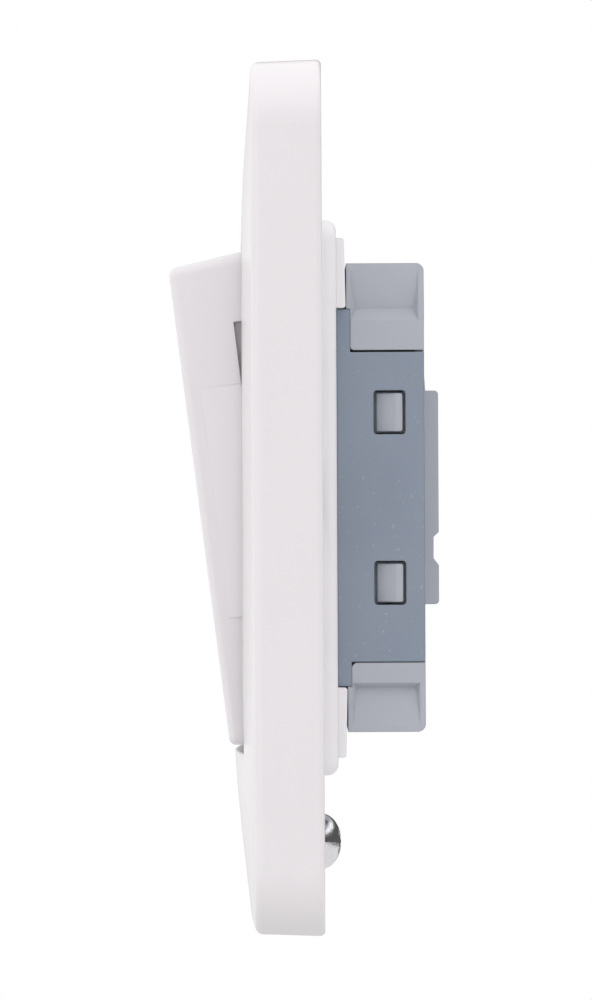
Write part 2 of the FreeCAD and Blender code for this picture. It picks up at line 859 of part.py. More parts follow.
def make_scoop(side, other):
    """The hollow in a block's side: it deepens towards the middle, then returns."""
    out = size("module_half_x")
    past = out + size("cut_margin")
    deep = out - size("scoop_depth")
    outer = size("scoop_outer_z")
    deepest = size("scoop_deepest_z")
    back = size("scoop_return_z") if side > 0 else size("low_scoop_return_z")
    front = size("scoop_front_rear")
    rear = size("scoop_end_rear")
    run_out = size("scoop_run_out")
    points = [V(past, front, outer), V(out, front, outer), V(deep, front, deepest), V(out, front, back)]
    points.append(V(past, front, back))
    middle = (points[1] + points[2]) / 2 + V(size("scoop_bulge"), 0, 0)
    edges = [Part.Arc(points[1], middle, points[2]).toShape()]
    for start, end in ((0, 1), (2, 3), (3, 4), (4, 0)):
        edges.append(Part.LineSegment(points[start], points[end]).toShape())
    tool = Part.Face(Part.Wire(Part.__sortEdges__(edges))).extrude(V(0, rear - front, 0))
    ends = [(deep, front + run_out), (out, front), (past, front), (past, rear), (out, rear)]
    ends.append((deep, rear - run_out))
    limit = flat_face([V(x, y, back - size("cut_margin")) for x, y in ends]).extrude(V(0, 0, outer))
    tool = tool.common(limit)
    if other < 0:
        tool = tool.mirror(V(), V(1, 0, 0))
    if side < 0:
        tool = tool.mirror(V(), V(0, 0, 1))
    return feature(f"base_scoop_{side + 1}_{other + 1}", tool)


def make_lug_notch(other):
    """The corner of the lower block that gives way to the housing's lug and leaves a chamfered wing."""
    margin = size("cut_margin")
    inner = size("lug_inner_x") - size("fit_gap")
    front = size("block_front_rear")
    rear = size("module_rear") + margin
    high = size("weld_overlap") - size("block_inner_z")
    wing = -size("low_wing_z")
    chamfer = size("low_wing_chamfer")
    corners = [(front - margin, high), (rear, high), (rear, wing), (front + chamfer, wing)]
    corners += [(front, wing - chamfer), (front - margin, wing - chamfer)]
    face = flat_face([V(inner, y, z) for y, z in corners])
    tool = face.extrude(V(size("module_half_x") + margin - inner, 0, 0))
    if other < 0:
        tool = tool.mirror(V(), V(1, 0, 0))
    return feature(f"base_lug_notch_{other + 1}", tool)


def make_snap(side, other):
    """A tongue with a ramped tooth that snaps into one of the housing's windows."""
    corner = f"{side + 1}_{other + 1}"
    tongue = box(
        f"base_tongue_{corner}",
        span(other, "tab_half_gap_x", "tab_outer_x"),
        ("catch_window_front_rear", "module_rear"),
        span(side, "catch_window_low_z + tongue_gap", "catch_window_high_z - tongue_gap"),
    )
    root = other * (size("tab_outer_x") - size("root_depth"))
    foot = other * size("tooth_foot_x")
    ridge = other * size("tooth_ridge_x")
    points = [(root, size("tooth_front_rear")), (foot, size("tooth_front_rear"))]
    points += [(ridge, size("tooth_ridge_rear")), (ridge, size("tooth_back_rear"))]
    points.append((root, size("tooth_back_rear")))
    low, high = span(side, "catch_window_low_z + tooth_gap", "catch_window_high_z - tooth_gap")
    body = doc.addObject("PartDesign::Body", f"base_tooth_{corner}")
    pad_on(body, f"base_tooth_pad_{corner}", "XY_Plane", points, low, f"({high}) - ({low})")
    back = size("tooth_back_rear") - TINY
    tooth = rounded(
        f"base_tooth_round_{corner}", body, size("tooth_round"),
        lambda e: is_along(e, V(1, 0, 0)) and e.BoundBox.YMin > back,
    )
    return [tongue, tooth]


def make_boss():
    """The raised back of the base, with a groove across it and a low ramp above it."""
    rear = size("boss_rear")
    floor = rear - size("groove_depth")
    root = size("module_rear") - size("boss_root")
    half = size("boss_half_z")
    points = [
        (root, -half), (rear, -half), (rear, size("groove_low_z")), (floor, size("groove_floor_low_z")),
        (floor, size("groove_floor_top_z")), (rear, size("groove_top_z")), (rear, half),
        (size("boss_ramp_rear"), half), (size("module_rear"), size("boss_ramp_z")),
        (root, size("boss_ramp_z")),
    ]
    body = doc.addObject("PartDesign::Body", "base_boss")
    pad = pad_on(body, "base_boss_pad", "YZ_Plane", points, None, "2 * boss_half_x")
    pad.Midplane = True

    def is_outer(edge):
        return edge.BoundBox.YMin > rear - CLOSE and abs(edge.BoundBox.ZMin) > half - CLOSE

    round_by = size("boss_round")
    return rounded("base_boss_round", body, round_by, lambda e: is_along(e, V(1, 0, 0)) and is_outer(e))


def is_rear_outer(edge):
    """Whether an edge of a terminal block runs across its rear, at the top or the bottom of the module."""
    bounds = edge.BoundBox
    far = abs(bounds.ZMin) > size("module_half_z") - CLOSE
    return is_along(edge, V(1, 0, 0)) and far and bounds.YMin > size("module_rear") - CLOSE


def is_front_inner(edge):
    """Whether an edge of a terminal block runs across its front, next to the housing."""
    bounds = edge.BoundBox
    near = abs(bounds.ZMin) < size("block_inner_z") + CLOSE
    return is_along(edge, V(1, 0, 0)) and near and bounds.YMax < size("block_front_rear") + CLOSE


def make_module_base():
    added = [
        box(
            "base_plate",
            ("housing_wall + base_gap - module_half_x", "module_half_x - housing_wall - base_gap"),
            ("base_plate_front_rear", "module_rear"),
            ("-block_inner_z", "block_inner_z"),
        ),
        make_boss(),
    ]
    removed = []
    for side in SIDES:
        block = box(
            f"base_block_{side + 1}",
            ("-module_half_x", "module_half_x"),
            ("block_front_rear", "module_rear"),
            span(side, "block_inner_z", "module_half_z"),
        )
        block = rounded(f"base_block_rear_{side + 1}", block, size("block_corner"), is_rear_outer)
        block = rounded(f"base_block_front_{side + 1}", block, size("block_front_round"), is_front_inner)
        added.append(block)
        added += [
            box(
                f"base_lip_{side + 1}_{other + 1}",
                span(other, "flange_half_x + block_lip_gap", "module_half_x"),
                ("flange_front_rear", "block_front_rear + weld_overlap"),
                span(side, "shoulder_half_z + fit_gap", "module_half_z"),
            )
            for other in SIDES
        ]
        for other in SIDES:
            removed.append(make_scoop(side, other))
            added += make_snap(side, other)
    removed += [make_lug_notch(other) for other in SIDES]
    for name, (_, side) in TERMINALS.items():
        x = terminal_x(name)
        removed.append(
            box(
                f"base_pocket_{name}",
                (f"{x} - pillar_half_x - fit_gap", f"{x} + pillar_half_x + fit_gap"),
                ("0", "base_plate_front_rear"),
                span(side, "block_inner_z - cut_margin", "pillar_outer_z + fit_gap"),
            )
        )
        start = "pillar_outer_z - wire_entry_overrun"
        if side < 0:
            start = "-module_half_z - wire_entry_overrun"
        removed.append(
            cylinder(
                f"base_entry_{name}", "z", "wire_entry_radius",
                "module_half_z - pillar_outer_z + 2 * wire_entry_overrun", x, "wire_bore_rear", start,
            )
        )
        removed.append(
            cylinder(
                f"base_driver_hole_{name}", "y", "clamp_screw_radius + driver_hole_gap",
                "driver_hole_length", x, "base_plate_front_rear - cut_margin",
                f"{side} * (pillar_inner_z + pillar_outer_z) / 2",
            )
        )
    return node(cut("module_base", fuse("base_solid", added), removed), "module_base")


# ---- current path --------------------------------------------------------------------------------------


def strip(label, corners):
    """A flat brass strip in the strap plane, from (x, z) corners."""
    body = doc.addObject("PartDesign::Body", label)
    pad = pad_on(body, label + "_pad", "XZ_Plane", corners, "-strap_front_rear", "strap_thickness")
    pad.Reversed = True
    return body


def round_sketch(body, name, radius):
    """A circle round the blade's pivot line, on the body's YZ plane."""
    plane = [o for o in body.Origin.OriginFeatures if o.Role == "YZ_Plane"][0]
    sketch = body.newObject("Sketcher::SketchObject", name)
    sketch.AttachmentSupport = (plane, [""])
    sketch.MapMode = "FlatFace"
    sketch.addGeometry(Part.Circle(V(size("blade_pivot_rear"), 0, 0), V(0, 0, 1), radius), False)
    return sketch


def make_common_strap():
    """The common strip: two lugs bent up from it carry the blade's pin."""
    half = size("strap_half_width")
    side = size("top_terminal_x")
    end = size("pillar_inner_z")
    lug_inner = size("blade_half_x") + size("common_lug_gap")
    lug_outer = lug_inner + size("strap_thickness")
    lug_half = size("common_lug_half_z")
    common = strip(
        "common_strap",
        [(side - half, end), (side + half, end), (side + half, -lug_half), (-lug_outer, -lug_half),
         (-lug_outer, lug_half), (side - half, lug_half)],
    )
    front = size("blade_pivot_rear") - size("common_lug_front_reach")
    back = size("strap_front_rear") + size("root_depth")
    lug = [(front, -lug_half), (back, -lug_half), (back, lug_half), (front, lug_half)]
    for name, start in (("common_lug_left", -lug_outer), ("common_lug_right", lug_inner)):
        pad_on(common, name, "YZ_Plane", lug, f"{start}", "strap_thickness")
    hole = round_sketch(common, "common_bearing_outline", size("blade_pin_radius") + size("trunnion_play"))
    pocket = common.newObject("PartDesign::Pocket", "common_bearing")
    pocket.Profile = hole
    pocket.Type = "ThroughAll"
    pocket.Midplane = True
    common.Tip = pocket
    return node(common, "common_strap")


def make_line_straps():
    half = size("strap_half_width")
    side = size("top_terminal_x")
    end = size("pillar_inner_z")
    tip = size("tip_z")
    line_one = strip(
        "line_one_strap",
        [(-side - half, end), (-side + half, end), (-side + half, tip + half), (half, tip + half),
         (half, tip - half), (-side - half, tip - half)],
    )
    node(line_one, "line_one_strap")
    line_two = strip("line_two_strap", [(-half, -end), (half, -end), (half, half - tip), (-half, half - tip)])
    node(line_two, "line_two_strap")


def make_fixed_contacts():
    radius = size("contact_radius")
    seat = size("strap_front_rear")
    face = seat - size("contact_height")
    flat = radius - size("contact_chamfer")
    edge = face + size("contact_chamfer_height")
    for name, side in (("line_one_contact", 1), ("line_two_contact", -1)):
        profile = [(0, face), (flat, face), (radius, edge), (radius, seat), (0, seat)]
        placement = FreeCAD.Placement(V(0, 0, side * size("tip_z")), FreeCAD.Rotation())
        revolved(name, profile, placement)


def make_contact_bridge():
    half_z = size("blade_half_z")
    half_x = size("blade_half_x")
    waist = half_x - size("blade_waist_inset")
    hub = size("blade_hub_half")
    neck = size("blade_neck_length")
    end = half_z - size("blade_end_length")
    right = [
        (half_x, -half_z), (half_x, -end), (waist, neck - end), (waist, -hub - neck), (half_x, -hub),
        (half_x, hub), (waist, hub + neck), (waist, end - neck), (half_x, end), (half_x, half_z),
    ]
    points = right + [(-x, z) for x, z in reversed(right)]
    body = doc.addObject("PartDesign::Body", "contact_bridge")
    blade = pad_on(body, "bridge_blade", "XZ_Plane", points, "-blade_pivot_rear", "blade_thickness")
    blade.Midplane = True
    pin = body.newObject("PartDesign::Pad", "bridge_pin")
    pin.Profile = round_sketch(body, "bridge_pin_outline", size("blade_pin_radius"))
    bind(pin, "Length", "2 * (blade_half_x + strap_thickness + blade_pin_overhang)")
    pin.Midplane = True
    body.Tip = pin
    return node(body, "contact_bridge", BLADE_REST)


def make_moving_tips():
    tips = []
    radius = size("tip_radius")
    crown_height = size("tip_crown_height")
    button_height = size("tip_height") - crown_height
    rear = size("blade_pivot_rear") + size("blade_thickness") / 2
    for side in SIDES:
        centre = V(0, rear, side * size("tip_z"))
        button = Part.makeCylinder(radius, button_height, centre, V(0, 1, 0))
        top = centre + V(0, button_height, 0)
        crown = Part.makeCone(radius, size("tip_crown_radius"), crown_height, top, V(0, 1, 0))
        tips.append(button.fuse(crown).removeSplitter())
    return node(feature("moving_tips", Part.makeCompound(tips)), "moving_tips", BLADE_REST)


def make_insulating_sheet():
    half_x = size("tab_half_gap_x") - size("sheet_gap")
    half_z = size("housing_half_z") - size("sheet_gap")
    points = [(-half_x, -half_z), (half_x, -half_z), (half_x, half_z), (-half_x, half_z)]
    body = doc.addObject("PartDesign::Body", "insulating_sheet")
    start = "-strap_front_rear - strap_thickness"
    pad = pad_on(body, "sheet_pad", "XZ_Plane", points, start, "sheet_thickness")
    pad.Reversed = True
    return node(body, "insulating_sheet")


def make_terminals():
    for name, (_, side) in TERMINALS.items():
        x = terminal_x(name)
        middle = f"{side} * (pillar_inner_z + pillar_outer_z) / 2"
        pillar = box(
            f"{name}_pillar",
            (f"{x} - pillar_half_x", f"{x} + pillar_half_x"),
            ("pillar_front_rear", "base_plate_front_rear"),
            span(side, "pillar_inner_z", "pillar_outer_z"),
        )
        round_by = size("pillar_round")
        pillar = rounded(f"{name}_pillar_round", pillar, round_by, lambda e: is_along(e, V(0, 0, 1)))
        start = "pillar_inner_z - cut_margin" if side > 0 else "-pillar_outer_z - cut_margin"
        wire = cylinder(
            f"{name}_wire_bore", "z", "wire_bore_radius",
            "pillar_outer_z - pillar_inner_z + 2 * cut_margin", x, "wire_bore_rear", start,
        )
        thread = cylinder(
            f"{name}_screw_bore", "y", "clamp_screw_radius + clamp_screw_play",
            "clamp_bore_length", x, "wire_bore_rear", middle,
        )
        node(cut(f"{name}_terminal", pillar, [wire, thread]), f"{name}_terminal")
        shank = cylinder(
            f"{name}_screw_shank", "y", "clamp_screw_radius",
            "clamp_screw_back_rear - clamp_screw_front_rear", x, "clamp_screw_front_rear", middle,
        )
        shank = rounded(f"{name}_screw_ends", shank, size("clamp_screw_end_round"), is_circle)
        slot = box(
            f"{name}_screw_slot",
            (f"{x} - clamp_screw_radius - cut_margin", f"{x} + clamp_screw_radius + cut_margin"),
            ("clamp_screw_back_rear - driver_slot_depth", "clamp_screw_back_rear + cut_margin"),
            (f"{middle} - driver_slot_width / 2", f"{middle} + driver_slot_width / 2"),
        )
        node(cut(f"{name}_screw", shank, [slot]), f"{name}_screw")


# ---- earth terminal ------------------------------------------------------------------------------------


def make_earth_terminal():
    at_earth = FreeCAD.Placement(V(0, 0, size("earth_z")), FreeCAD.Rotation())
    shank = size("earth_shank_radius")
    insert_front = size("earth_insert_inset") - size("earth_boss_front")
    washer_front = -size("earth_washer_front")
    head_front = -size("earth_head_front")
    outer = size("earth_insert_radius")
    bored = shank + size("fit_gap")
    revolved(
        "earth_insert",
        [(bored, insert_front), (outer, insert_front), (outer, washer_front), (bored, washer_front)],
        at_earth,
    )
    washer = box(
        "earth_washer_plate",
        ("-earth_washer_half", "earth_washer_half"),
        ("-earth_washer_front", "-earth_head_front"),
        ("earth_z - earth_washer_half", "earth_z + earth_washer_half"),
    )
    round_by = size("earth_washer_corner")
    washer = rounded("earth_washer_round", washer, round_by, lambda e: is_along(e, V(0, 1, 0)))
    hole = cylinder(
        "earth_washer_hole", "y", "earth_shank_radius + earth_washer_gap",
        "earth_washer_front + 2 * cut_margin", 0, "-earth_washer_front - cut_margin", "earth_z",
    )
    node(cut("earth_washer", washer, [hole]), "earth_washer")
    head = size("earth_head_radius")
    brim = head_front + size("earth_head_band")
    height = size("earth_head_rear") - brim
    tip = insert_front + size("earth_shank_gap")
    chamfer = size("earth_shank_chamfer")
    profile = [(0, tip), (shank - chamfer, tip), (shank, tip + chamfer), (shank, head_front)]
    profile.append((head, head_front))
    for step in range(0, 91, 6):
        angle = math.radians(step)
        profile.append((head * math.cos(angle), brim + height * math.sin(angle)))
    blank = revolved("earth_screw_blank", profile, at_earth)
    NODES.remove(blank)
    arms = []
    long = ("-earth_cross_half_length", "earth_cross_half_length")
    thin = ("-earth_cross_half_width", "earth_cross_half_width")
    deep = ("earth_head_rear - earth_cross_depth", "earth_head_rear + cut_margin")
    for name, across, up in (("earth_cross_one", long, thin), ("earth_cross_two", thin, long)):
        arms.append(box(name, across, deep, up))
    recess = fuse("earth_cross", arms)
    recess.Placement = FreeCAD.Placement(V(0, 0, size("earth_z")), FreeCAD.Rotation(V(0, 1, 0), 45))
    node(cut("earth_screw", blank, [recess]), "earth_screw")


# ---- build, test, write --------------------------------------------------------------------------------


def main():
    make_front_cover()
    make_rocker()
    make_rocker_carrier()
    make_plunger()
    make_plunger_spring()
    make_mounting_grid()
    make_module_housing()
    make_module_base()
    make_common_strap()
    make_line_straps()
    make_fixed_contacts()
    make_contact_bridge()
    make_moving_tips()
    make_insulating_sheet()
    make_terminals()
    make_earth_terminal()
    doc.recompute()
    for item in doc.Objects:
        if "Invalid" in item.State or "Error" in item.State:
            raise RuntimeError(f"{item.Name}: {item.State}")
    for item in NODES:
        if item.Shape.isNull() or not item.Shape.isValid():
            raise RuntimeError(f"{item.Label}: the shape is null or not valid")
    os.makedirs("parts", exist_ok=True)
    for item in NODES:
        item.Shape.exportStep(f"parts/{item.Label}.step")
        print(f"{item.Label:18s} {item.Shape.Volume:9.2f} mm3, {len(item.Shape.Solids)} solid(s)")


main()
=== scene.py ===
import json
import math

import bmesh
import bpy
from mathutils import Matrix, Vector


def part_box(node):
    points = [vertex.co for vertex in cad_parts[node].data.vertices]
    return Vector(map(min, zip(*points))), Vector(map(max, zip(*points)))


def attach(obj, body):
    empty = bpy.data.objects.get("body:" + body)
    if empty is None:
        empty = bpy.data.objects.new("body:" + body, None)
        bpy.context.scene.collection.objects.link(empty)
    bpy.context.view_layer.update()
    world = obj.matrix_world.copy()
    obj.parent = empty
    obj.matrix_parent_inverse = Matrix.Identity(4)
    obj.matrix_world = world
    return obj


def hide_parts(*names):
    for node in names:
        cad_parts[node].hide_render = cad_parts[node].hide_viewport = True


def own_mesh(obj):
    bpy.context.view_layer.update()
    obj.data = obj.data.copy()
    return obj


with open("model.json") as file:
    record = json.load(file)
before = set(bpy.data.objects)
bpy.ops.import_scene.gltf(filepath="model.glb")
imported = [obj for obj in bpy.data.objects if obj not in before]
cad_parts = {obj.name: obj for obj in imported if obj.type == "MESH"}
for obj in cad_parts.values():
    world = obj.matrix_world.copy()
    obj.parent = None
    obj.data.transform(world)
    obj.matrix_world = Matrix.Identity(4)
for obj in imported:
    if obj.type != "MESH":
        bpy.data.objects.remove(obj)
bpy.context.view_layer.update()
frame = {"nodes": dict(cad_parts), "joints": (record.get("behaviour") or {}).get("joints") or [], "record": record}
NODES = frame["nodes"]
MM = 0.001
SIDES = (-1, 1)


def box_mm(node):
    """A CAD node's lowest and highest corners at rest, in millimetres."""
    low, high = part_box(node)
    return low / MM, high / MM


def middle_mm(node):
    """Where the middle of a CAD node is, across and up, in millimetres."""
    low, high = box_mm(node)
    middle = (low + high) / 2
    return middle.x, middle.z


# ---- materials -----------------------------------------------------------------------------------------

EDGE_SAMPLES = 4
GRAIN_DEPTH = 0.02 * MM
PLASTIC_EDGE = 0.22 * MM
METAL_EDGE = 0.08 * MM
FIBRE_EDGE = 0.05 * MM
CLOUD_SCALE = 90.0
SPECK_SCALE = 2600.0
CLOUD_RANGE = (0.35, 0.65)
SPECK_RANGE = (0.70, 0.78)
GRAIN_RANGE = (0.3, 0.7)
STRAND_RANGE = (0.4, 0.62)
LEAST_SPREAD = 0.01
SPREAD_BY_GRAIN = 0.15
METAL_POLISH = 0.06
METAL_WEAR = 0.12
DUST = (0.62, 0.64, 0.66)


def new_material(name):
    material = bpy.data.materials.new(name)
    material.use_nodes = True
    tree = material.node_tree
    return material, tree, tree.nodes["Principled BSDF"]


def noise(tree, scale, detail=3.0, roughness=0.5):
    """A noise in the object's own metres."""
    place = tree.nodes.new("ShaderNodeTexCoord")
    node = tree.nodes.new("ShaderNodeTexNoise")
    node.inputs["Scale"].default_value = scale
    node.inputs["Detail"].default_value = detail
    node.inputs["Roughness"].default_value = roughness
    tree.links.new(place.outputs["Object"], node.inputs["Vector"])
    return node.outputs["Fac"]


def ranged(tree, source, low, high, out_low, out_high):
    """Maps a value from one range to another, and holds it at the ends."""
    node = tree.nodes.new("ShaderNodeMapRange")
    for key, value in (("From Min", low), ("From Max", high), ("To Min", out_low), ("To Max", out_high)):
        node.inputs[key].default_value = value
    tree.links.new(source, node.inputs["Value"])
    return node.outputs["Result"]


def mixed(tree, factor, first, second):
    """Mixes two colours; each is a colour or another node's output."""
    node = tree.nodes.new("ShaderNodeMix")
    node.data_type = "RGBA"
    sockets = [s for s in node.inputs if s.type == "RGBA"]
    tree.links.new(factor, node.inputs[0])
    for socket, value in zip(sockets, (first, second)):
        if isinstance(value, tuple):
            socket.default_value = (*value, 1)
        else:
            tree.links.new(value, socket)
    return [s for s in node.outputs if s.type == "RGBA"][0]


def bump(tree, height, strength, distance, round_by):
    """Surface grain on top of slightly rounded edges."""
    edge = tree.nodes.new("ShaderNodeBevel")
    edge.samples = EDGE_SAMPLES
    edge.inputs["Radius"].default_value = round_by
    node = tree.nodes.new("ShaderNodeBump")
    node.inputs["Strength"].default_value = strength
    node.inputs["Distance"].default_value = distance
    tree.links.new(height, node.inputs["Height"])
    tree.links.new(edge.outputs["Normal"], node.inputs["Normal"])
    return node.outputs["Normal"]


def plastic(name, colour, second, roughness, grain, grain_scale, specks):
    """Moulded plastic: faintly cloudy colour, fine grain, an uneven gloss and a few pale specks."""
    material, tree, shader = new_material(name)
    cloud = ranged(tree, noise(tree, CLOUD_SCALE), *CLOUD_RANGE, 0.0, 1.0)
    body = mixed(tree, cloud, colour, second)
    speck = ranged(tree, noise(tree, SPECK_SCALE, detail=1.0), *SPECK_RANGE, 0.0, specks)
    tree.links.new(mixed(tree, speck, body, DUST), shader.inputs["Base Color"])
    fine = noise(tree, grain_scale, detail=4.0, roughness=0.6)
    spread = LEAST_SPREAD + SPREAD_BY_GRAIN * grain
    uneven = ranged(tree, fine, *GRAIN_RANGE, roughness - spread, roughness + spread)
    tree.links.new(uneven, shader.inputs["Roughness"])
    tree.links.new(bump(tree, fine, grain, GRAIN_DEPTH, PLASTIC_EDGE), shader.inputs["Normal"])
    return material


def metal(name, colour, second, roughness, grain, grain_scale):
    """Rolled or plated metal: a mottled tone, and gloss broken by fine scratches and grain."""
    material, tree, shader = new_material(name)
    fine = noise(tree, grain_scale, detail=5.0, roughness=0.65)
    tone = ranged(tree, fine, *CLOUD_RANGE, 0.0, 1.0)
    tree.links.new(mixed(tree, tone, colour, second), shader.inputs["Base Color"])
    uneven = ranged(tree, fine, *GRAIN_RANGE, roughness - METAL_POLISH, roughness + METAL_WEAR)
    tree.links.new(uneven, shader.inputs["Roughness"])
    tree.links.new(bump(tree, fine, grain, GRAIN_DEPTH, METAL_EDGE), shader.inputs["Normal"])
    shader.inputs["Metallic"].default_value = 1.0
    return material


def fibre(name, ground, strand_colour, roughness, grain, grain_scale):
    """Pressed fibre board: long pale fibres over a brown ground."""
    material, tree, shader = new_material(name)
    strands = noise(tree, grain_scale, detail=6.0, roughness=0.7)
    tone = ranged(tree, strands, *STRAND_RANGE, 0.0, 1.0)
    tree.links.new(mixed(tree, tone, ground, strand_colour), shader.inputs["Base Color"])
    tree.links.new(bump(tree, strands, grain, 3 * GRAIN_DEPTH, FIBRE_EDGE), shader.inputs["Normal"])
    shader.inputs["Roughness"].default_value = roughness
    return material


def make_materials():
    """Every finish of the record, by its slot's name."""
    return {
        "white_gloss": plastic(
            "white_gloss", (0.835, 0.812, 0.825), (0.845, 0.82, 0.833),
            roughness=0.26, grain=0.01, grain_scale=1500.0, specks=0.0,
        ),
        "white_grid": plastic(
            "white_grid", (0.90, 0.885, 0.90), (0.91, 0.895, 0.91),
            roughness=0.36, grain=0.03, grain_scale=1500.0, specks=0.0,
        ),
        "natural_plastic": plastic(
            "natural_plastic", (0.70, 0.68, 0.62), (0.74, 0.72, 0.66),
            roughness=0.42, grain=0.2, grain_scale=1200.0, specks=0.1,
        ),
        "dark_grey_plastic": plastic(
            "dark_grey_plastic", (0.27, 0.318, 0.392), (0.285, 0.333, 0.407),
            roughness=0.38, grain=0.3, grain_scale=2500.0, specks=0.3,
        ),
        "light_grey_plastic": plastic(
            "light_grey_plastic", (0.47, 0.495, 0.545), (0.485, 0.51, 0.56),
            roughness=0.42, grain=0.3, grain_scale=2500.0, specks=0.15,
        ),
        "fibre_board": fibre(
            "fibre_board", (0.30, 0.23, 0.14), (0.52, 0.44, 0.31),
            roughness=0.85, grain=0.5, grain_scale=1400.0,
        ),
        "copper": metal(
            "copper", (0.80, 0.45, 0.28), (0.70, 0.37, 0.22),
            roughness=0.34, grain=0.4, grain_scale=900.0,
        ),
        "silver": metal(
            "silver", (0.86, 0.86, 0.84), (0.74, 0.74, 0.72),
            roughness=0.3, grain=0.5, grain_scale=1500.0,
        ),
        "brass": metal(
            "brass", (0.80, 0.62, 0.30), (0.70, 0.52, 0.24),
            roughness=0.32, grain=0.4, grain_scale=1100.0,
        ),
        "plated_steel": metal(
            "plated_steel", (0.66, 0.66, 0.67), (0.55, 0.55, 0.57),
            roughness=0.34, grain=0.5, grain_scale=1300.0,
        ),
        "spring_steel": metal(
            "spring_steel", (0.55, 0.55, 0.56), (0.46, 0.46, 0.48),
            roughness=0.28, grain=0.3, grain_scale=1500.0,
        ),
        "chrome_steel": metal(
            "chrome_steel", (0.97, 0.97, 0.98), (0.86, 0.87, 0.89),
            roughness=0.12, grain=1.0, grain_scale=4200.0,
        ),
    }


MATERIALS = make_materials()


def paint_cad_nodes():
    for entry in frame["record"]["subparts"]:
        slots = NODES[entry["node"]].data.materials
        slots.clear()
        slots.append(MATERIALS[entry["material_slot"]])


# ---- mesh helpers --------------------------------------------------------------------------------------

SMOOTH_ANGLE = math.radians(40)
RING_STEPS = 48
RING_SOFTNESS = 0.25


def span(side, inner, outer):
    """Two distances from zero on one side of it, the lower first."""
    return sorted((side * inner, side * outer))


def to_mesh(bm, name):
    """Turns a bmesh in millimetres into a mesh in metres, and frees it."""
    bmesh.ops.recalc_face_normals(bm, faces=bm.faces)
    bmesh.ops.scale(bm, vec=(MM, MM, MM), verts=bm.verts)
    mesh = bpy.data.meshes.new(name)
    bm.to_mesh(mesh)
    bm.free()
    return mesh


def finish_piece(name, bm, body, slot):
    """Turns a bmesh in millimetres into a piece that rides on a body and has a slot's finish."""
    mesh = to_mesh(bm, name)
    mesh.shade_smooth()
    mesh.set_sharp_from_angle(angle=SMOOTH_ANGLE)
    mesh.materials.append(MATERIALS[slot])
    piece = bpy.data.objects.new(name, mesh)
    bpy.context.scene.collection.objects.link(piece)
    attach(piece, body)
    return piece


def add_bar(bm, low, high, rounding=0.15):
    """A bar between two corners, with rounded edges."""
    low = Vector(low)
    high = Vector(high)
    made = bmesh.ops.create_cube(bm, size=1.0)["verts"]
    bmesh.ops.scale(bm, vec=high - low, verts=made)
    bmesh.ops.translate(bm, vec=(low + high) / 2, verts=made)
    edges = list({edge for vert in made for edge in vert.link_edges})
    bmesh.ops.bevel(bm, geom=edges, offset=rounding, segments=2, affect="EDGES", profile=0.5)


def join_rings(bm, ring, following):
    """A band of faces between two rings of the same count."""
    count = len(ring)
    for step in range(count):
        ahead = (step + 1) % count
        bm.faces.new((ring[step], ring[ahead], following[ahead], following[step]))


def add_turned(bm, profile, centre):
    """A closed solid turned about a line along Y through a centre, from (radius, y) points."""
    x, z = centre
    rings = []
    for radius, y in profile:
        ring = []
        for step in range(RING_STEPS):
            angle = 2 * math.pi * step / RING_STEPS
            place = (x + radius * math.cos(angle), y, z + radius * math.sin(angle))
            ring.append(bm.verts.new(place))
        rings.append(ring)
    for index, ring in enumerate(rings):
        join_rings(bm, ring, rings[(index + 1) % len(rings)])


def add_ring(bm, centre, inner, outer, back, front):
    """A raised ring with a softened rim, standing on a face of constant y."""
    soft = RING_SOFTNESS * (outer - inner)
    top = front + math.copysign(min(soft, abs(front - back)), back - front)
    profile = [(inner, back), (outer, back), (outer, top)]
    profile += [(outer - soft, front), (inner + soft, front), (inner, top)]
    add_turned(bm, profile, centre)


def cut_from(piece, bm):
    """Cuts a bmesh in millimetres from a piece, and keeps only the result."""
    tool = bpy.data.objects.new("tool", to_mesh(bm, "tool"))
    bpy.context.scene.collection.objects.link(tool)
    modifier = piece.modifiers.new("cut", "BOOLEAN")
    modifier.operation = "DIFFERENCE"
    modifier.solver = "EXACT"
    modifier.object = tool
    graph = bpy.context.evaluated_depsgraph_get()
    result = bpy.data.meshes.new_from_object(piece.evaluated_get(graph))
    piece.modifiers.clear()
    piece.data = result
    bpy.data.objects.remove(tool)


# ---- inner and rear details of the plate, in millimetres -------------------------------------------------

GRID_BACK = -0.6
GRID_FRONT = -2.6
STEP_HALF_X = 25.3
STEP_HALF_Z = 27.8
FIXING_X = 30.15
EARTH_Z = middle_mm("earth_screw")[1]
RIB = 0.9
ROOT = 0.1
MARK_ROOT = 0.05

RIM_REACH = box_mm("mounting_grid")[1].x - 1.8
RIM_CORNER = 2.4
BACK_RIB_END = -0.12
BACK_RIB_PLACES = (-14.0, 14.0)
EARTH_GAP = 4.7


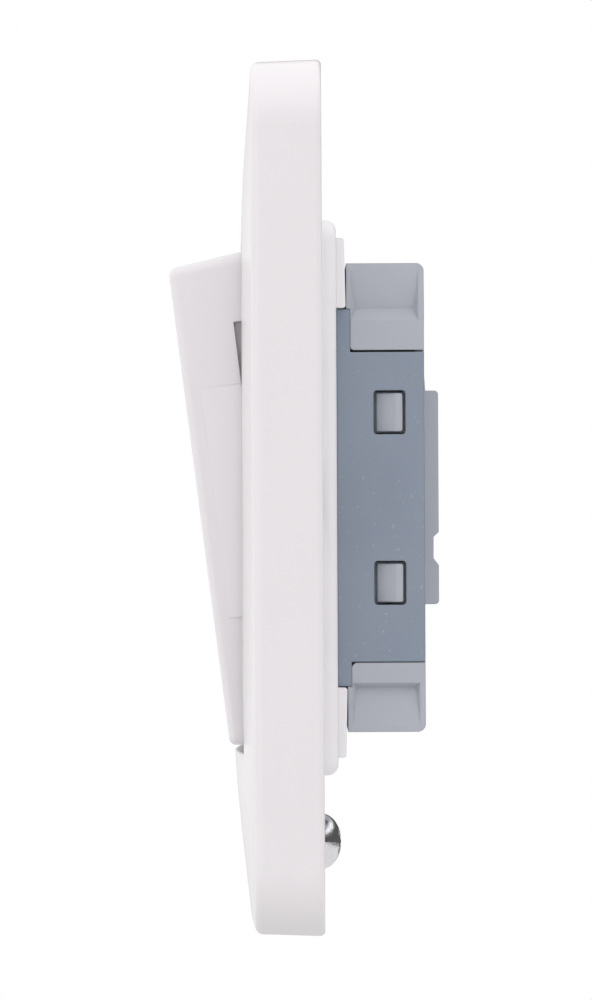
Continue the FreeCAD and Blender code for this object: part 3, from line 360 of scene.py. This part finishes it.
def make_grid_back_ribs():
    """Stiffening ribs behind the grid, just short of the wall, with a gap at the earth terminal."""
    bm = bmesh.new()
    near = GRID_BACK - ROOT
    far = BACK_RIB_END
    rim_end = RIM_REACH - RIM_CORNER
    for side in SIDES:
        rim = span(side, RIM_REACH, RIM_REACH - RIB)
        runs = [(-rim_end, rim_end)]
        if side < 0:
            runs = [(-rim_end, -EARTH_GAP), (EARTH_GAP, rim_end)]
        for left, right in runs:
            add_bar(bm, (left, near, rim[0]), (right, far, rim[1]))
        add_bar(bm, (rim[0], near, -rim_end), (rim[1], far, rim_end))
        across = span(side, STEP_HALF_X - 2 * ROOT, RIM_REACH - 4 * ROOT)
        up = span(side, STEP_HALF_Z - 2 * ROOT, RIM_REACH - 4 * ROOT)
        for at in BACK_RIB_PLACES:
            add_bar(bm, (across[0], near, at - RIB / 2), (across[1], far, at + RIB / 2))
            add_bar(bm, (at - RIB / 2, near, up[0]), (at + RIB / 2, far, up[1]))
    return finish_piece("grid_back_ribs", bm, "switch_body", "white_grid")


EJECTOR_PLACE = 32.5
EJECTOR_RADII = (2.0, 2.35)
EJECTOR_HEIGHT = 0.12
PIN_PLACE = (20.0, 33.0)
PIN_RADII = (0.8, 1.05)
PIN_HEIGHT = 0.1
EARTH_MARK_X = 8.6
EARTH_MARK_Z = EARTH_Z + 1.1
EARTH_MARK_BARS = (1.9, 1.25, 0.6)
EARTH_MARK_STEP = 0.9
EARTH_MARK_LINE = 0.16
EARTH_MARK_HEIGHT = 0.14
EARTH_MARK_STEM = (EARTH_Z + 1.2, EARTH_Z + 2.6)
EARTH_MARK_ROUND = 0.05


def make_grid_marks():
    """Ejector marks and a generic earth mark beside the earth terminal, on the grid's back."""
    bm = bmesh.new()
    back = GRID_BACK - MARK_ROOT
    for x in (-EJECTOR_PLACE, EJECTOR_PLACE):
        for z in (-EJECTOR_PLACE, EJECTOR_PLACE):
            add_ring(bm, (x, z), *EJECTOR_RADII, back, GRID_BACK + EJECTOR_HEIGHT)
    for up in reversed(SIDES):
        for side in SIDES:
            place = (side * PIN_PLACE[0], up * PIN_PLACE[1])
            add_ring(bm, place, *PIN_RADII, back, GRID_BACK + PIN_HEIGHT)
    front = GRID_BACK + EARTH_MARK_HEIGHT
    line = EARTH_MARK_LINE
    for index, half in enumerate(EARTH_MARK_BARS):
        z = EARTH_MARK_Z - EARTH_MARK_STEP * index
        low = (EARTH_MARK_X - half, back, z - line)
        high = (EARTH_MARK_X + half, front, z + line)
        add_bar(bm, low, high, EARTH_MARK_ROUND)
    low = (EARTH_MARK_X - line, back, EARTH_MARK_STEM[0])
    high = (EARTH_MARK_X + line, front, EARTH_MARK_STEM[1])
    add_bar(bm, low, high, EARTH_MARK_ROUND)
    return finish_piece("grid_marks", bm, "switch_body", "white_grid")


FRONT_RIB_END = -3.4
FRONT_RIB_PLACES = (-20.0, 20.0)
FRONT_RIB_ACROSS = (27.6, 39.6)
FRONT_RIB_UP = (28.4, 38.6)
COLLAR_RADII = (2.6, 3.7)


def make_grid_front_ribs():
    """Ribs and screw collars on the grid's front, which the cover hides until it is pulled off."""
    bm = bmesh.new()
    near = GRID_FRONT + ROOT
    far = FRONT_RIB_END
    for side in SIDES:
        across = span(side, *FRONT_RIB_ACROSS)
        up = span(side, *FRONT_RIB_UP)
        for at in FRONT_RIB_PLACES:
            add_bar(bm, (across[0], far, at - RIB / 2), (across[1], near, at + RIB / 2))
            add_bar(bm, (at - RIB / 2, far, up[0]), (at + RIB / 2, near, up[1]))
        add_ring(bm, (side * FIXING_X, 0.0), *COLLAR_RADII, near, far)
    return finish_piece("grid_front_ribs", bm, "switch_body", "white_grid")


COVER_CEILING = -5.0
COVER_RIB_END = -3.8
COVER_WALL = 41.3
COVER_RIB_INNER_X = 24.7
COVER_RIB_INNER_Z = 26.5
COVER_RIBS_ACROSS = (-12.0, 0.0, 12.0)
COVER_RIBS_UP = (-21.0, 0.0, 21.0)
RIDGE_Z = (40.45, 41.4)
RIDGE_Y = (-3.1, -2.3)
RIDGE_PLACES = (-13.0, 13.0)
RIDGE_HALF_X = 3.6


def make_cover_ribs():
    """Ribs under the cover's face, clear of the earth terminal, and the ridges that its clips catch on."""
    bm = bmesh.new()
    ceiling = COVER_CEILING - ROOT
    far = COVER_RIB_END
    for side in SIDES:
        across = span(side, COVER_RIB_INNER_X, COVER_WALL)
        up = span(side, COVER_RIB_INNER_Z, COVER_WALL)
        for at in COVER_RIBS_ACROSS:
            add_bar(bm, (across[0], ceiling, at - RIB / 2), (across[1], far, at + RIB / 2))
        for at in COVER_RIBS_UP:
            if side > 0 or at:
                add_bar(bm, (at - RIB / 2, ceiling, up[0]), (at + RIB / 2, far, up[1]))
        ridge = span(side, *RIDGE_Z)
        for x in RIDGE_PLACES:
            low = (x - RIDGE_HALF_X, RIDGE_Y[0], ridge[0])
            high = (x + RIDGE_HALF_X, RIDGE_Y[1], ridge[1])
            add_bar(bm, low, high)
    return finish_piece("cover_inner_ribs", bm, "cover", "white_gloss")


# ---- details of the module, in millimetres ---------------------------------------------------------------

MODULE_BACK = box_mm("module_housing")[1].y
SCREW_DOTS = {"line_one": 1, "common": 3, "line_two": 2}
SCREW_PLACES = {name: middle_mm(name + "_screw") for name in SCREW_DOTS}
RIM_RADII = (2.1, 2.5)
RIM_HEIGHT = 0.16
DOT_SPACING = 0.9
DOT_FROM_SCREW = 4.2
DOT_RADII = (0.02, 0.3)
DOT_HEIGHT = 0.14
MOULD_PLACE = (17.5, 8.0)
MOULD_RADII = (1.0, 1.25)
MOULD_HEIGHT = 0.1


def make_base_marks():
    """Raised rims round the screw openings, dots that tell the terminals apart, and moulding marks."""
    bm = bmesh.new()
    back = MODULE_BACK - MARK_ROOT
    for name, (x, z) in SCREW_PLACES.items():
        add_ring(bm, (x, z), *RIM_RADII, back, MODULE_BACK + RIM_HEIGHT)
        dot_z = z - math.copysign(DOT_FROM_SCREW, z)
        for index in range(SCREW_DOTS[name]):
            dot_x = x + DOT_SPACING * (index - (SCREW_DOTS[name] - 1) / 2)
            add_ring(bm, (dot_x, dot_z), *DOT_RADII, back, MODULE_BACK + DOT_HEIGHT)
    for side in SIDES:
        for up in SIDES:
            place = (side * MOULD_PLACE[0], up * MOULD_PLACE[1])
            add_ring(bm, place, *MOULD_RADII, back, MODULE_BACK + MOULD_HEIGHT)
    return finish_piece("base_marks", bm, "switch_body", "light_grey_plastic")


THREAD_PITCH = 0.6
THREAD_DEPTH = 0.22
THREAD_ROWS = 56
THREAD_STEPS = 48
SCREW_END_LENGTH = 0.35
SCREW_END_INSET = 0.3
SLOT_HALF_LENGTH = 2.0
SLOT_HALF_WIDTH = 0.3
SLOT_DEPTH = 0.7
SLOT_OVERRUN = 0.5
SLOT_ROUND = 0.04


def thread_reach(radius, y, turn, taper):
    """How far the thread's surface is from the screw's axis; it fades out at the tapered ends."""
    tooth = abs(2 * ((y / THREAD_PITCH - turn) % 1.0) - 1)
    return radius - SCREW_END_INSET * (1 - taper) - THREAD_DEPTH * tooth * taper


def make_clamp_screw(name):
    """A slotted grub screw with a cut thread, in place of the CAD's plain one."""
    x, z = SCREW_PLACES[name]
    low, high = box_mm(name + "_screw")
    radius = (high.x - low.x) / 2
    front = low.y
    back = high.y
    bm = bmesh.new()
    rings = []
    for row in range(THREAD_ROWS + 1):
        y = front + (back - front) * row / THREAD_ROWS
        taper = min(1.0, (y - front) / SCREW_END_LENGTH, (back - y) / SCREW_END_LENGTH)
        ring = []
        for step in range(THREAD_STEPS):
            turn = step / THREAD_STEPS
            reach = thread_reach(radius, y, turn, taper)
            angle = 2 * math.pi * turn
            ring.append(bm.verts.new((x + reach * math.cos(angle), y, z + reach * math.sin(angle))))
        rings.append(ring)
    for ring, following in zip(rings, rings[1:]):
        join_rings(bm, ring, following)
    bm.faces.new(rings[0])
    bm.faces.new(rings[-1])
    piece = finish_piece(name + "_threaded", bm, name + "_clamp", "plated_steel")
    slot = bmesh.new()
    low_corner = (x - SLOT_HALF_LENGTH, back - SLOT_DEPTH, z - SLOT_HALF_WIDTH)
    high_corner = (x + SLOT_HALF_LENGTH, back + SLOT_OVERRUN, z + SLOT_HALF_WIDTH)
    add_bar(slot, low_corner, high_corner, SLOT_ROUND)
    cut_from(piece, slot)
    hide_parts(name + "_screw")
    return piece


SPRING_WIRE = 0.2
SPRING_RADIUS = 1.4
SPRING_ENDS = (-7.75, -3.45)
SPRING_TURNS = 7.0
SPRING_STEPS = 24
WIRE_STEPS = 10
CLOSED_TURNS = 0.75
CLOSED_PITCH = 0.42
JOINTS = {joint["name"]: joint for joint in frame["joints"]}
PIVOT_Y = JOINTS["rocker_tilt"]["pos_m"][1] / MM
PLUNGER_AXIS = JOINTS["plunger_travel"]["axis"]
REST_TILT = math.atan2(-PLUNGER_AXIS[2], -PLUNGER_AXIS[1])


def tilted(x, y, z):
    """A point of the rocker's own upright frame as it lies at rest."""
    ahead = y - PIVOT_Y
    across = ahead * math.cos(REST_TILT) - z * math.sin(REST_TILT)
    return (x, PIVOT_Y + across, ahead * math.sin(REST_TILT) + z * math.cos(REST_TILT))


def spring_height(turn):
    """How far along the spring its wire has climbed: its first and last turns lie nearly closed."""
    closed = CLOSED_TURNS * CLOSED_PITCH
    start, end = SPRING_ENDS
    open_turns = SPRING_TURNS - 2 * CLOSED_TURNS
    pitch = (end - start - 2 * closed) / open_turns
    opened = min(max(turn - CLOSED_TURNS, 0.0), open_turns)
    return start + CLOSED_PITCH * (turn - opened) + pitch * opened


def make_plunger_coil():
    """The plunger's spring with closed ends, riding on the rocker unit in place of the CAD's plain one."""
    bm = bmesh.new()
    rings = []
    for step in range(int(SPRING_TURNS * SPRING_STEPS) + 1):
        turn = step / SPRING_STEPS
        angle = 2 * math.pi * turn
        ring = []
        for index in range(WIRE_STEPS):
            lean = 2 * math.pi * index / WIRE_STEPS
            reach = SPRING_RADIUS + SPRING_WIRE * math.cos(lean)
            y = spring_height(turn) + SPRING_WIRE * math.sin(lean)
            ring.append(bm.verts.new(tilted(reach * math.cos(angle), y, reach * math.sin(angle))))
        rings.append(ring)
    for ring, following in zip(rings, rings[1:]):
        join_rings(bm, ring, following)
    bm.faces.new(rings[0])
    bm.faces.new(rings[-1])
    piece = finish_piece("plunger_coil", bm, "rocker_unit", "spring_steel")
    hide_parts("plunger_spring")
    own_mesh(piece)
    return piece


# ---- stage, light and camera, in metres ------------------------------------------------------------------

FLOOR_HALF = 1.6
FLOOR_Z = -0.30
FLOOR_GREYS = ((0.62, 0.62, 0.62), (0.66, 0.66, 0.66))
FLOOR_SCALE = 3.0
FLOOR_ROUGHNESS = 0.9


def make_floor():
    mesh = bpy.data.meshes.new("studio_floor")
    turn_order = ((-1, -1), (1, -1), (1, 1), (-1, 1))
    corners = [(x * FLOOR_HALF, y * FLOOR_HALF, FLOOR_Z) for x, y in turn_order]
    mesh.from_pydata(corners, [], [(0, 1, 2, 3)])
    floor = bpy.data.objects.new("studio_floor", mesh)
    bpy.context.scene.collection.objects.link(floor)
    material, tree, shader = new_material("floor_paint")
    cloud = ranged(tree, noise(tree, FLOOR_SCALE), *GRAIN_RANGE, 0.0, 1.0)
    tree.links.new(mixed(tree, cloud, *FLOOR_GREYS), shader.inputs["Base Color"])
    shader.inputs["Roughness"].default_value = FLOOR_ROUGHNESS
    mesh.materials.append(material)


WORLD_LIGHT = 1.1
WORLD_TINT = (1.0, 0.99, 1.0, 1)
FRONT_SHARE = 1.07
REAR_SHARE = 0.96
GLOSS_LIGHT = 1.35
HORIZON_GLOSS = 0.1
HORIZON_EDGE = (0.4, 0.55)
HORIZON_REAR = (-0.2, 0.0)


def make_soft_light(tree, direction):
    """The light that falls on the object, a little stronger from the front."""
    soft = tree.nodes.new("ShaderNodeBackground")
    soft.inputs["Color"].default_value = WORLD_TINT
    strengths = (FRONT_SHARE * WORLD_LIGHT, REAR_SHARE * WORLD_LIGHT)
    tree.links.new(ranged(tree, direction.outputs["Y"], -1.0, 1.0, *strengths), soft.inputs["Strength"])
    return soft


def make_mirrored_light(tree, direction):
    """What gloss reflects: bright above, below and in front, and dark at eye level behind."""
    height = tree.nodes.new("ShaderNodeMath")
    height.operation = "ABSOLUTE"
    tree.links.new(direction.outputs["Z"], height.inputs[0])
    mirrored = tree.nodes.new("ShaderNodeBackground")
    lighter = tree.nodes.new("ShaderNodeMath")
    lighter.operation = "MAXIMUM"
    high = ranged(tree, height.outputs[0], *HORIZON_EDGE, 0.0, 1.0)
    tree.links.new(high, lighter.inputs[0])
    ahead = ranged(tree, direction.outputs["Y"], *HORIZON_REAR, 1.0, 0.0)
    tree.links.new(ahead, lighter.inputs[1])
    band = ranged(tree, lighter.outputs[0], 0.0, 1.0, HORIZON_GLOSS, GLOSS_LIGHT)
    tree.links.new(band, mirrored.inputs["Strength"])
    return mirrored


def make_world():
    """A white studio: pure white where it is seen, and darker at eye level where gloss reflects it."""
    world = bpy.data.worlds.new("studio")
    bpy.context.scene.world = world
    world.use_nodes = True
    tree = world.node_tree
    seen = tree.nodes["Background"]
    seen.inputs["Color"].default_value = (1, 1, 1, 1)
    seen.inputs["Strength"].default_value = 1.0
    place = tree.nodes.new("ShaderNodeTexCoord")
    direction = tree.nodes.new("ShaderNodeSeparateXYZ")
    tree.links.new(place.outputs["Generated"], direction.inputs[0])
    path = tree.nodes.new("ShaderNodeLightPath")
    lit = tree.nodes.new("ShaderNodeMixShader")
    tree.links.new(path.outputs["Is Glossy Ray"], lit.inputs[0])
    tree.links.new(make_soft_light(tree, direction).outputs[0], lit.inputs[1])
    tree.links.new(make_mirrored_light(tree, direction).outputs[0], lit.inputs[2])
    chosen = tree.nodes.new("ShaderNodeMixShader")
    tree.links.new(path.outputs["Is Camera Ray"], chosen.inputs[0])
    tree.links.new(lit.outputs[0], chosen.inputs[1])
    tree.links.new(seen.outputs[0], chosen.inputs[2])
    tree.links.new(chosen.outputs[0], tree.nodes["World Output"].inputs["Surface"])


OVERHEAD_PLACE = (0.25, 0.20, 0.90)
OVERHEAD_SIZE = 0.9
OVERHEAD_POWER = 0.15


def make_area_light(name, location, size, power):
    """A square soft white light that faces the object's middle and is not seen itself."""
    data = bpy.data.lights.new(name, "AREA")
    data.size = size
    data.energy = power
    item = bpy.data.objects.new(name, data)
    item.location = location
    item.rotation_euler = (-Vector(location)).to_track_quat("-Z", "Y").to_euler()
    item.visible_camera = False
    bpy.context.scene.collection.objects.link(item)


CAMERA_DISTANCE = 1.0
CAMERA_Y = -2.67 * MM
CAMERA_Z = -0.2 * MM
CAMERA_ROLL = math.radians(-0.29)
PIXELS_PER_METRE = 9750.0
LONG_SIDE = 1000
SENSOR_WIDTH = 36.0
CLIP = (0.01, 50.0)


def make_camera():
    """A camera that looks at the switch's right side, along -X."""
    data = bpy.data.cameras.new("camera")
    data.sensor_width = SENSOR_WIDTH
    data.lens = SENSOR_WIDTH * PIXELS_PER_METRE * CAMERA_DISTANCE / LONG_SIDE
    data.clip_start, data.clip_end = CLIP
    camera = bpy.data.objects.new("camera", data)
    right = Vector((0, 1, 0))
    up = Vector((0, 0, 1))
    back = Vector((1, 0, 0))
    rolled_right = math.cos(CAMERA_ROLL) * right + math.sin(CAMERA_ROLL) * up
    rolled_up = math.cos(CAMERA_ROLL) * up - math.sin(CAMERA_ROLL) * right
    turn = Matrix((rolled_right, rolled_up, back)).transposed().to_4x4()
    camera.matrix_world = Matrix.Translation((CAMERA_DISTANCE, CAMERA_Y, CAMERA_Z)) @ turn
    bpy.context.scene.collection.objects.link(camera)
    bpy.context.scene.camera = camera


# ---- everything together -------------------------------------------------------------------------------


def main():
    paint_cad_nodes()
    make_grid_back_ribs()
    make_grid_marks()
    make_grid_front_ribs()
    make_cover_ribs()
    make_base_marks()
    for name in SCREW_PLACES:
        make_clamp_screw(name)
    make_plunger_coil()
    make_floor()
    make_world()
    make_area_light("overhead", OVERHEAD_PLACE, OVERHEAD_SIZE, OVERHEAD_POWER)
    make_camera()
    bpy.context.scene.view_settings.view_transform = "Standard"


main()
